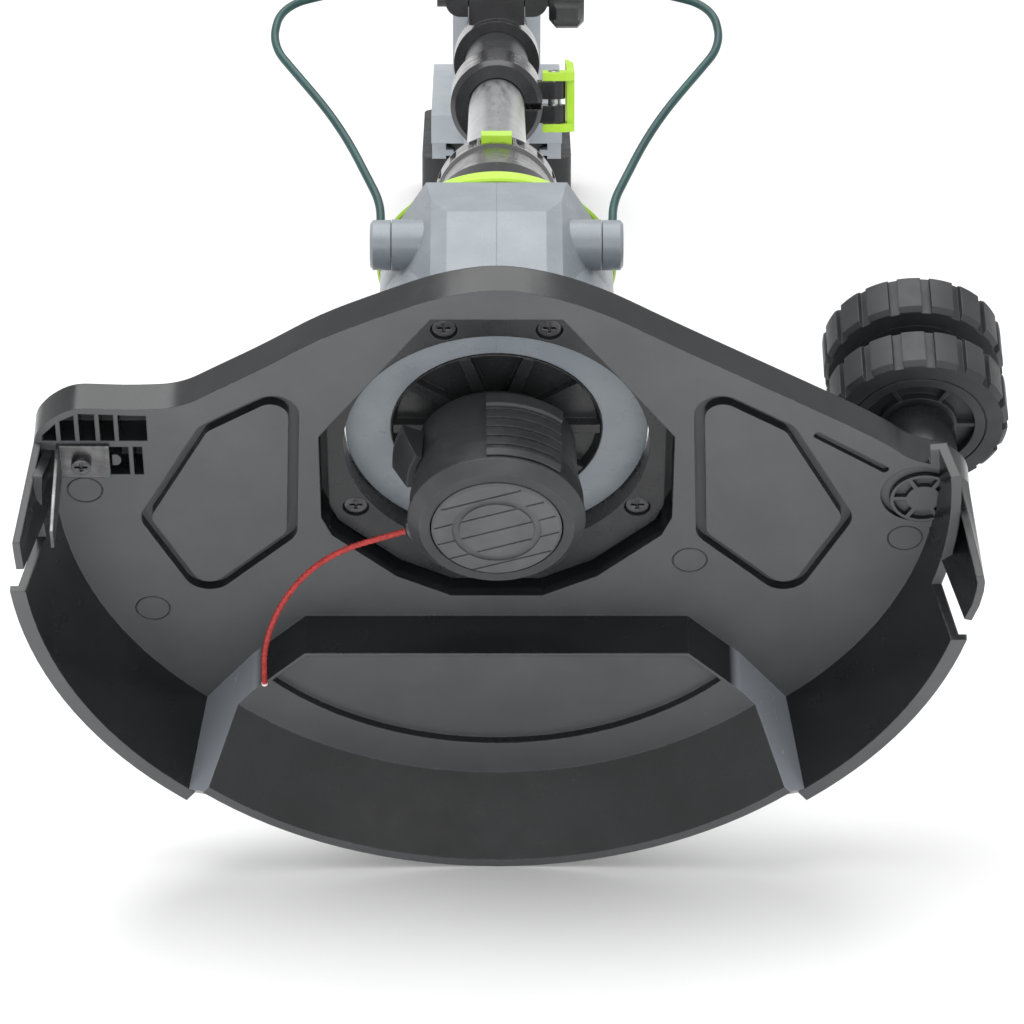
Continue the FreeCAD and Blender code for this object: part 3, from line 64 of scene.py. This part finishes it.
JOINTS = {joint["name"]: joint for joint in frame["joints"]}

# The head's own frame, in millimetres. Z runs along the spindle, from the spool towards the neck.
# X is to the right and Y runs across the guard towards its rear bay. Positions below are given in it.
AXIS = Vector(JOINTS["line_head_spin"]["axis"]).normalized()
SIDE = Vector((1, 0, 0))
UP = AXIS.cross(SIDE)


def frame_at(origin, x, y, z):
    columns = Matrix((x, y, z)).transposed().to_4x4()
    return Matrix.Translation(origin) @ columns @ Matrix.Scale(MM, 4)


HEAD = frame_at(Vector(JOINTS["line_head_spin"]["pos_m"]), SIDE, UP, AXIS)


# ---------------------------------------------------------------- camera and cord

VIEW_TILT = math.radians(43.76)
VIEW_DISTANCE = 1737
VIEW_LENS = 179.3
VIEW_SHIFT = (0.015, -0.0532)


def camera():
    """A long lens below the head's axis, looking up into the guard."""
    data = bpy.data.cameras.new("camera")
    data.sensor_width = 36
    data.lens = VIEW_LENS
    data.shift_x, data.shift_y = VIEW_SHIFT
    data.clip_start = 0.1
    data.clip_end = 50
    eye = bpy.data.objects.new("camera", data)
    bpy.context.scene.collection.objects.link(eye)
    look = (HEAD.to_3x3() @ Vector((0, math.cos(VIEW_TILT), math.sin(VIEW_TILT)))).normalized()
    eye.location = HEAD.translation - look * VIEW_DISTANCE * MM
    eye.rotation_mode = "QUATERNION"
    eye.rotation_quaternion = look.to_track_quat("-Z", "Y")
    bpy.context.scene.camera = eye


LINE_ROUTE = [(-27.62, 11.72, -22), (-38.2, 16.22, -22), (-49, 19, -23.4), (-59.5, 24.7, -25),
              (-67.6, 33.6, -26), (-73.6, 44.2, -26.6), (-77.8, 55.4, -27), (-80.2, 66.6, -27),
              (-81.1, 76.6, -27), (-81, 86.2, -27)]


def nurbs_path(points):
    """Vertices along the smooth line that has these control points."""
    curve = bpy.data.curves.new("route", "CURVE")
    curve.dimensions = "3D"
    spline = curve.splines.new("NURBS")
    spline.points.add(len(points) - 1)
    for control, point in zip(spline.points, points):
        control.co = (*point, 1)
    spline.order_u = 3
    spline.use_endpoint_u = True
    spline.resolution_u = 12
    holder = bpy.data.objects.new("route", curve)
    bpy.context.scene.collection.objects.link(holder)
    mesh = bpy.data.meshes.new_from_object(holder)
    path = [vertex.co.copy() for vertex in mesh.vertices]
    bpy.data.objects.remove(holder)
    bpy.data.meshes.remove(mesh)
    return path


def even_path(path, step):
    """The same line with its points a step apart."""
    out = [path[0]]
    left = step
    for a, b in zip(path, path[1:]):
        run = (b - a).length
        at = left
        while at < run:
            out.append(a.lerp(b, at / run))
            at += step
        left = at - run
    out.append(path[-1])
    return out


def swept(name, path, section):
    """A tube of rings along a path. section(i, along) gives ring i's points as (across, over)."""
    mesh = bmesh.new()
    rings = []
    tangent = (path[1] - path[0]).normalized()
    normal = tangent.orthogonal().normalized()
    along = 0.0
    for i, point in enumerate(path):
        ahead = path[min(i + 1, len(path) - 1)] - path[max(i - 1, 0)]
        turned = tangent.rotation_difference(ahead.normalized())
        normal = (turned @ normal).normalized()
        tangent = ahead.normalized()
        side = tangent.cross(normal)
        along += (point - path[i - 1]).length if i else 0
        rings.append([mesh.verts.new(point + normal * a + side * b) for a, b in section(i, along)])
    for low, high in zip(rings, rings[1:]):
        for k in range(len(low)):
            n = (k + 1) % len(low)
            mesh.faces.new((low[k], low[n], high[n], high[k]))
    mesh.faces.new(reversed(rings[0]))
    mesh.faces.new(rings[-1])
    return piece_from(name, mesh)


def piece_from(name, mesh):
    """A smooth-shaded object made of a finished mesh."""
    data = bpy.data.meshes.new(name)
    bmesh.ops.recalc_face_normals(mesh, faces=mesh.faces)
    mesh.to_mesh(data)
    mesh.free()
    for face in data.polygons:
        face.use_smooth = True
    made = bpy.data.objects.new(name, data)
    bpy.context.scene.collection.objects.link(made)
    return made


def trim_line():
    path = nurbs_path([HEAD @ Vector(p) for p in LINE_ROUTE])
    radius = 1.08 * MM
    pitch = 9.5 * MM
    sides = 16

    def section(i, along):
        out = []
        for k in range(sides):
            turn = 2 * math.pi * k / sides
            lobe = 1 - 0.2 * (1 - math.cos(4 * turn)) / 2
            at = turn + 2 * math.pi * along / pitch
            out.append((radius * lobe * math.cos(at), radius * lobe * math.sin(at)))
        return out

    line = swept("line_twisted", even_path(path, 0.3 * MM), section)
    circle = []
    for k in range(sides):
        turn = 2 * math.pi * k / sides
        circle.append((1.02 * radius * math.cos(turn), 1.02 * radius * math.sin(turn)))
    start = path[-1] - (path[-1] - path[-2]).normalized() * 0.9 * MM
    tip = swept("line_cut_end", [start, path[-1]], lambda i, along: circle)
    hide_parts("trim_line")
    for piece in (line, tip):
        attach(piece, "line_head")
    paint(line, LINE)
    paint(tip, line_end_material())


PIN_MARKS = [(-141.1, 16.1), (-120.7, 76.5), (67.2, 51.6), (141.4, 40.3)]


def pin_mark(name, x, y):
    """The faint raised ring that an ejector pin leaves on a moulding."""
    mesh = bmesh.new()
    profile = [(5.6, 0.02), (5.75, -0.16), (6.15, -0.16), (6.3, 0.02)]
    sides = 48
    rings = []
    for k in range(sides):
        turn = 2 * math.pi * k / sides
        rings.append([mesh.verts.new(HEAD @ Vector((x + r * math.cos(turn), y + r * math.sin(turn), z)))
                      for r, z in profile])
    for k in range(sides):
        here, after = rings[k], rings[(k + 1) % sides]
        for i in range(len(profile)):
            n = (i + 1) % len(profile)
            mesh.faces.new((here[i], here[n], after[n], after[i]))
    ring = piece_from(name, mesh)
    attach(ring, "head")
    return ring


# ---------------------------------------------------------------- materials

class Nodes:
    """A short way to build one material's node tree."""

    def __init__(self, name):
        self.material = bpy.data.materials.new(name)
        self.material.use_nodes = True
        self.tree = self.material.node_tree
        self.tree.nodes.clear()
        self.output = self.add("ShaderNodeOutputMaterial")
        self.shader = self.add("ShaderNodeBsdfPrincipled")
        self.link(self.shader.outputs[0], self.output.inputs[0])
        coordinates = self.add("ShaderNodeTexCoord")
        self.place = coordinates.outputs["Object"]
        self.facing = coordinates.outputs["Normal"]

    def add(self, kind, **values):
        node = self.tree.nodes.new(kind)
        for key, value in values.items():
            setattr(node, key, value)
        return node

    def link(self, a, b):
        self.tree.links.new(a, b)

    def noise(self, size, detail=3.0, rough=0.55, stretch=(1, 1, 1)):
        """Noise with features of that size in millimetres."""
        scaled = self.add("ShaderNodeMapping")
        scaled.inputs["Scale"].default_value = [s / (size * MM) for s in stretch]
        self.link(self.place, scaled.inputs[0])
        node = self.add("ShaderNodeTexNoise")
        node.inputs["Scale"].default_value = 1
        node.inputs["Detail"].default_value = detail
        node.inputs["Roughness"].default_value = rough
        self.link(scaled.outputs[0], node.inputs["Vector"])
        return node.outputs["Fac"]

    def ramp(self, value, *stops):
        """stops are (position, colour)."""
        node = self.add("ShaderNodeValToRGB")
        node.color_ramp.elements[0].position = stops[0][0]
        node.color_ramp.elements[0].color = (*stops[0][1], 1)
        node.color_ramp.elements[1].position = stops[-1][0]
        node.color_ramp.elements[1].color = (*stops[-1][1], 1)
        for position, colour in stops[1:-1]:
            node.color_ramp.elements.new(position).color = (*colour, 1)
        self.link(value, node.inputs[0])
        return node.outputs["Color"]

    def span(self, value, low, high, to_low, to_high):
        node = self.add("ShaderNodeMapRange")
        for socket, number in zip(node.inputs[1:5], (low, high, to_low, to_high)):
            socket.default_value = number
        self.link(value, node.inputs[0])
        return node.outputs[0]

    def maths(self, operation, a, b=None):
        node = self.add("ShaderNodeMath", operation=operation)
        for socket, value in zip(node.inputs, (a, b)):
            if value is None:
                continue
            if isinstance(value, (int, float)):
                socket.default_value = value
            else:
                self.link(value, socket)
        return node.outputs[0]

    def mixed(self, factor, a, b):
        node = self.add("ShaderNodeMix", data_type="RGBA")
        self.link(factor, node.inputs[0])
        for socket, colour in ((node.inputs[6], a), (node.inputs[7], b)):
            if isinstance(colour, tuple):
                socket.default_value = (*colour, 1)
            else:
                self.link(colour, socket)
        return node.outputs[2]

    def edges(self, radius):
        """1 on sharp edges, 0 on flats, from how far the rounded normal leaves the true one."""
        rounded = self.add("ShaderNodeBevel", samples=4)
        rounded.inputs["Radius"].default_value = radius * MM
        flat = self.add("ShaderNodeNewGeometry")
        dot = self.add("ShaderNodeVectorMath", operation="DOT_PRODUCT")
        self.link(rounded.outputs[0], dot.inputs[0])
        self.link(flat.outputs["Normal"], dot.inputs[1])
        return self.span(dot.outputs["Value"], 0.995, 0.85, 0, 1), rounded.outputs[0]

    def axis_share(self, axis):
        """How squarely the surface faces along an axis, 0 to 1, in the piece's own frame."""
        dot = self.add("ShaderNodeVectorMath", operation="DOT_PRODUCT")
        dot.inputs[1].default_value = axis
        self.link(self.facing, dot.inputs[0])
        return self.maths("ABSOLUTE", dot.outputs["Value"])

    def beyond(self, axis, start, soft):
        """0 to 1 over a few millimetres where the surface lies further than start along an axis from the head."""
        dot = self.add("ShaderNodeVectorMath", operation="DOT_PRODUCT")
        dot.inputs[1].default_value = axis
        self.link(self.place, dot.inputs[0])
        origin = HEAD.translation.dot(axis)
        low = origin + start * MM
        return self.span(dot.outputs["Value"], low, low + soft * MM, 0, 1)

    def bump(self, height, depth, normal=None):
        node = self.add("ShaderNodeBump")
        node.inputs["Strength"].default_value = 1
        node.inputs["Distance"].default_value = depth * MM
        self.link(height, node.inputs["Height"])
        if normal is not None:
            self.link(normal, node.inputs["Normal"])
        return node.outputs[0]

    def finish(self, colour, roughness, normal):
        self.link(colour, self.shader.inputs["Base Color"])
        self.link(roughness, self.shader.inputs["Roughness"])
        self.link(normal, self.shader.inputs["Normal"])
        return self.material


def surface(name, dark, light, rough=(0.35, 0.5), grain=0.35, depth=0.03, patch=18, wear=(0.3, 0.3, 0.3),
            worn=0.35, edge=0.6, metal=0.0, specular=0.5, coat=0.0, stretch=(1, 1, 1)):
    """Moulded plastic, rubber, paint or metal: patchy colour, fine grain, uneven roughness and worn edges."""
    n = Nodes(name)
    n.shader.inputs["Metallic"].default_value = metal
    n.shader.inputs["Specular IOR Level"].default_value = specular
    n.shader.inputs["Coat Weight"].default_value = coat
    n.shader.inputs["Coat Roughness"].default_value = 0.12
    patches = n.noise(patch, 4)
    base = n.ramp(patches, (0.3, dark), (0.7, light))
    mask, soft = n.edges(edge)
    scuffs = n.span(n.noise(2.2, 5, 0.7), 0.42, 0.7, 0, 1)
    rubbed = n.maths("MULTIPLY", n.maths("MULTIPLY", mask, scuffs), worn)
    colour = n.mixed(rubbed, base, wear)
    uneven = n.span(n.noise(patch * 0.4, 5, 0.65, stretch), 0.3, 0.7, rough[0], rough[1])
    grains = n.noise(grain, 2, 0.6, stretch)
    return n.finish(colour, uneven, n.bump(grains, depth, soft))


def guard_material():
    """Moulded guard: flats that face along the spindle are textured and rough, painted a lit grey; walls are
    smooth and shiny, painted a near-black shade; some side walls near the rear get a pale bluish painted
    highlight.
    """
    n = Nodes("guard_moulded")
    n.shader.inputs["Specular IOR Level"].default_value = 0.55
    flats = n.span(n.axis_share(AXIS), 0.93, 0.975, 0, 1)
    patches = n.noise(30, 5, 0.6)
    # Lit and shaded copies of one black plastic: the flats get a painted lit grey, the walls a painted near-black
    # shade.
    flat_colour_lit = n.ramp(patches, (0.3, (0.072, 0.075, 0.079)), (0.7, (0.088, 0.092, 0.096)))
    wall_colour_painted_shade = n.ramp(patches, (0.3, (0.010, 0.0105, 0.0115)), (0.7, (0.018, 0.019, 0.021)))
    mask, soft = n.edges(0.7)
    scuffs = n.span(n.noise(3, 6, 0.7), 0.45, 0.7, 0, 0.5)
    rubbed = n.maths("MULTIPLY", mask, scuffs)
    # Painted highlight: a pale bluish colour on the side walls near the guard's rear, standing in for a reflection
    # of the lights.
    walls = []
    for outward in (-SIDE, SIDE):
        squarely = n.span(n.axis_share(outward * 0.805 - UP * 0.593), 0.94, 0.985, 0, 1)
        walls.append(n.maths("MULTIPLY", squarely, n.beyond(outward, 0, 3)))
    painted_highlight = n.maths("MULTIPLY", n.maths("MAXIMUM", *walls), n.beyond(UP, 96, 3))
    body = n.mixed(painted_highlight, n.mixed(flats, wall_colour_painted_shade, flat_colour_lit), (0.30, 0.325, 0.36))
    colour = n.mixed(rubbed, body, (0.2, 0.21, 0.22))
    smudge = n.noise(14, 6, 0.65)
    smooth = n.span(smudge, 0.3, 0.7, 0.16, 0.30)
    rough = n.span(smudge, 0.3, 0.7, 0.42, 0.54)
    blend = n.add("ShaderNodeMix", data_type="FLOAT")
    n.link(flats, blend.inputs[0])
    n.link(smooth, blend.inputs[2])
    n.link(rough, blend.inputs[3])
    grains = n.maths("MULTIPLY", n.noise(0.45, 2, 0.6), flats)
    flow = n.bump(n.noise(26, 2), 0.25, soft)
    return n.finish(colour, blend.outputs[0], n.bump(grains, 0.05, flow))


def line_material():
    """Twisted nylon line: clear red of patchy tone with fine draw marks."""
    n = Nodes("line_nylon")
    n.shader.inputs["Specular IOR Level"].default_value = 0.5
    n.shader.inputs["Subsurface Weight"].default_value = 0.15
    n.shader.inputs["Subsurface Scale"].default_value = 0.001
    marks = n.noise(1.6, 4, 0.6)
    colour = n.ramp(marks, (0.35, (0.26, 0.010, 0.008)), (0.7, (0.50, 0.035, 0.028)))
    return n.finish(colour, n.span(marks, 0.3, 0.7, 0.28, 0.45), n.bump(n.noise(0.3), 0.02))


def line_end_material():
    n = Nodes("line_cut_nylon")
    n.shader.inputs["Subsurface Weight"].default_value = 0.3
    n.shader.inputs["Subsurface Scale"].default_value = 0.001
    marks = n.noise(0.5, 4, 0.7)
    colour = n.ramp(marks, (0.3, (0.85, 0.62, 0.58)), (0.65, (0.95, 0.9, 0.86)))
    return n.finish(colour, n.span(marks, 0.3, 0.7, 0.5, 0.75), n.bump(marks, 0.12))


def floor_material():
    """A plain pale studio sweep."""
    n = Nodes("studio_floor")
    n.shader.inputs["Specular IOR Level"].default_value = 0.25
    colour = n.ramp(n.noise(400, 3), (0.3, (0.90, 0.90, 0.90)), (0.7, (0.93, 0.93, 0.93)))
    return n.finish(colour, n.span(n.noise(60, 3), 0.3, 0.7, 0.5, 0.6), n.bump(n.noise(3), 0.01))


def paint(piece, material):
    data = piece.data
    data.materials.clear()
    data.materials.append(material)


def clothe(node, material):
    """A CAD node's material."""
    thing = NODES[node]
    for place in thing.material_slots:
        place.material = material
    if not thing.material_slots:
        thing.data.materials.append(material)


LINE = line_material()


def finishes():
    """Every material slot's look."""
    return {
        "guard_black": guard_material(),
        "frame_black": surface("frame_plastic", (0.020, 0.021, 0.022), (0.034, 0.035, 0.037), (0.22, 0.38)),
        "screw_steel": surface("screw_blackened", (0.07, 0.07, 0.075), (0.16, 0.16, 0.165), (0.25, 0.4), metal=1,
                               patch=4, wear=(0.6, 0.6, 0.6)),
        "blade_steel": surface("blade_ground", (0.09, 0.09, 0.095), (0.2, 0.2, 0.2), (0.25, 0.42), metal=1,
                               patch=6, wear=(0.9, 0.9, 0.9), stretch=(0.2, 2, 2)),
        "housing_silver": surface("housing_moulded", (0.215, 0.245, 0.27), (0.27, 0.297, 0.322), (0.24, 0.36),
                                  wear=(0.62, 0.65, 0.68), worn=0.4),
        "accent_lime": surface("accent_plastic", (0.42, 0.72, 0.03), (0.52, 0.82, 0.06), (0.3, 0.45),
                               wear=(0.85, 1, 0.4)),
        "motor_steel": surface("motor_plate", (0.3, 0.3, 0.31), (0.48, 0.48, 0.49), (0.25, 0.45), metal=1),
        "magnet_dark": surface("magnet_ferrite", (0.03, 0.03, 0.034), (0.06, 0.06, 0.065), (0.5, 0.7)),
        "bearing_steel": surface("bearing_polished", (0.45, 0.45, 0.46), (0.66, 0.66, 0.67), (0.1, 0.25), metal=1),
        "spool_black": surface("spool_plastic", (0.022, 0.023, 0.025), (0.040, 0.042, 0.045), (0.34, 0.5),
                               depth=0.05),
        "eyelet_metal": surface("eyelet_blackened", (0.06, 0.06, 0.065), (0.13, 0.13, 0.135), (0.3, 0.45), metal=1,
                                patch=3),
        "knob_black": surface("knob_plastic", (0.066, 0.069, 0.074), (0.10, 0.104, 0.11), (0.4, 0.55),
                              depth=0.05),
        "line_red": LINE,
        "spring_steel": surface("spring_wire", (0.3, 0.3, 0.3), (0.5, 0.5, 0.5), (0.2, 0.35), metal=1, patch=3),
        "wheel_charcoal": surface("wheel_plastic", (0.018, 0.019, 0.021), (0.032, 0.034, 0.037), (0.42, 0.58),
                                  depth=0.06, wear=(0.18, 0.18, 0.19)),
        "wire_green": surface("wire_coated", (0.008, 0.045, 0.045), (0.014, 0.07, 0.066), (0.3, 0.45),
                              wear=(0.25, 0.3, 0.3)),
        "neck_black": surface("neck_plastic", (0.010, 0.010, 0.012), (0.02, 0.02, 0.023), (0.12, 0.26)),
        "tube_silver": surface("tube_anodised", (0.50, 0.51, 0.52), (0.62, 0.63, 0.64), (0.25, 0.4), metal=1,
                               stretch=(3, 0.1, 3)),
        "tube_dark": surface("tube_painted", (0.03, 0.032, 0.035), (0.05, 0.052, 0.055), (0.25, 0.4)),
        "grip_rubber": surface("grip_soft", (0.016, 0.016, 0.017), (0.03, 0.03, 0.031), (0.6, 0.8), depth=0.12,
                               grain=0.6),
        "handle_silver": surface("handle_moulded", (0.36, 0.40, 0.435), (0.43, 0.465, 0.50), (0.3, 0.45)),
        "battery_black": surface("battery_plastic", (0.016, 0.017, 0.018), (0.03, 0.031, 0.033), (0.4, 0.6)),
        "cell_steel": surface("cell_sleeve", (0.05, 0.16, 0.32), (0.07, 0.2, 0.4), (0.3, 0.5)),
        "board_green": surface("board_laminate", (0.01, 0.12, 0.05), (0.02, 0.18, 0.08), (0.3, 0.5)),
    }


# ---------------------------------------------------------------- studio

def light(name, size, power, at, towards):
    """A rectangular soft light."""
    data = bpy.data.lights.new(name, "AREA")
    data.shape = "RECTANGLE"
    data.size, data.size_y = size
    data.energy = power
    lamp = bpy.data.objects.new(name, data)
    bpy.context.scene.collection.objects.link(lamp)
    lamp.location = at
    lamp.rotation_mode = "QUATERNION"
    lamp.rotation_quaternion = (Vector(towards) - Vector(at)).to_track_quat("-Z", "Y")


def studio():
    centre = HEAD.translation
    mesh = bmesh.new()
    bmesh.ops.create_grid(mesh, x_segments=8, y_segments=8, size=9)
    floor = piece_from("studio_sweep", mesh)
    floor.location = (0, 3, CAD_BOX[0][2] - 0.0002)
    paint(floor, floor_material())
    world = bpy.data.worlds.new("studio")
    world.use_nodes = True
    back = world.node_tree.nodes["Background"]
    back.inputs[0].default_value = (1, 1, 1, 1)
    back.inputs[1].default_value = 0.7
    bpy.context.scene.world = world
    sun = bpy.data.lights.new("overhead", "SUN")
    sun.energy = 1.5
    sun.angle = math.radians(50)
    lamp = bpy.data.objects.new("overhead", sun)
    bpy.context.scene.collection.objects.link(lamp)
    lamp.rotation_euler = (math.radians(-12), 0, 0)
    light("key", (1.6, 1.0), 16, centre + Vector((-0.5, -0.5, 1.7)), centre)
    light("front", (1.8, 0.7), 7, centre + Vector((0.3, -1.9, 0.5)), centre)
    bpy.context.scene.view_settings.view_transform = "Standard"


def soft_coil(node, body, material):
    """A copy of the spring on a mesh of its own, riding its body in place of the rigid one."""
    coil = bpy.data.objects.new(node + "_coil", NODES[node].data.copy())
    bpy.context.scene.collection.objects.link(coil)
    coil.matrix_world = NODES[node].matrix_world.copy()
    paint(coil, material)
    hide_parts(node)
    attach(coil, body)
    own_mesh(coil)


def springs(material):
    soft_coil("bump_spring", "reel", material)
    soft_coil("trigger_spring", "upper_shaft", material)


def main():
    camera()
    trim_line()
    looks = finishes()
    springs(looks["spring_steel"])
    slots = {part["node"]: part["material_slot"] for part in frame["record"]["subparts"]
             if "material_slot" in part}
    for name in NODES:
        if name in slots:
            clothe(name, looks[slots[name]])
    for i, spot in enumerate(PIN_MARKS):
        paint(pin_mark("pin_mark_%d" % i, *spot), looks["guard_black"])
    studio()


main()
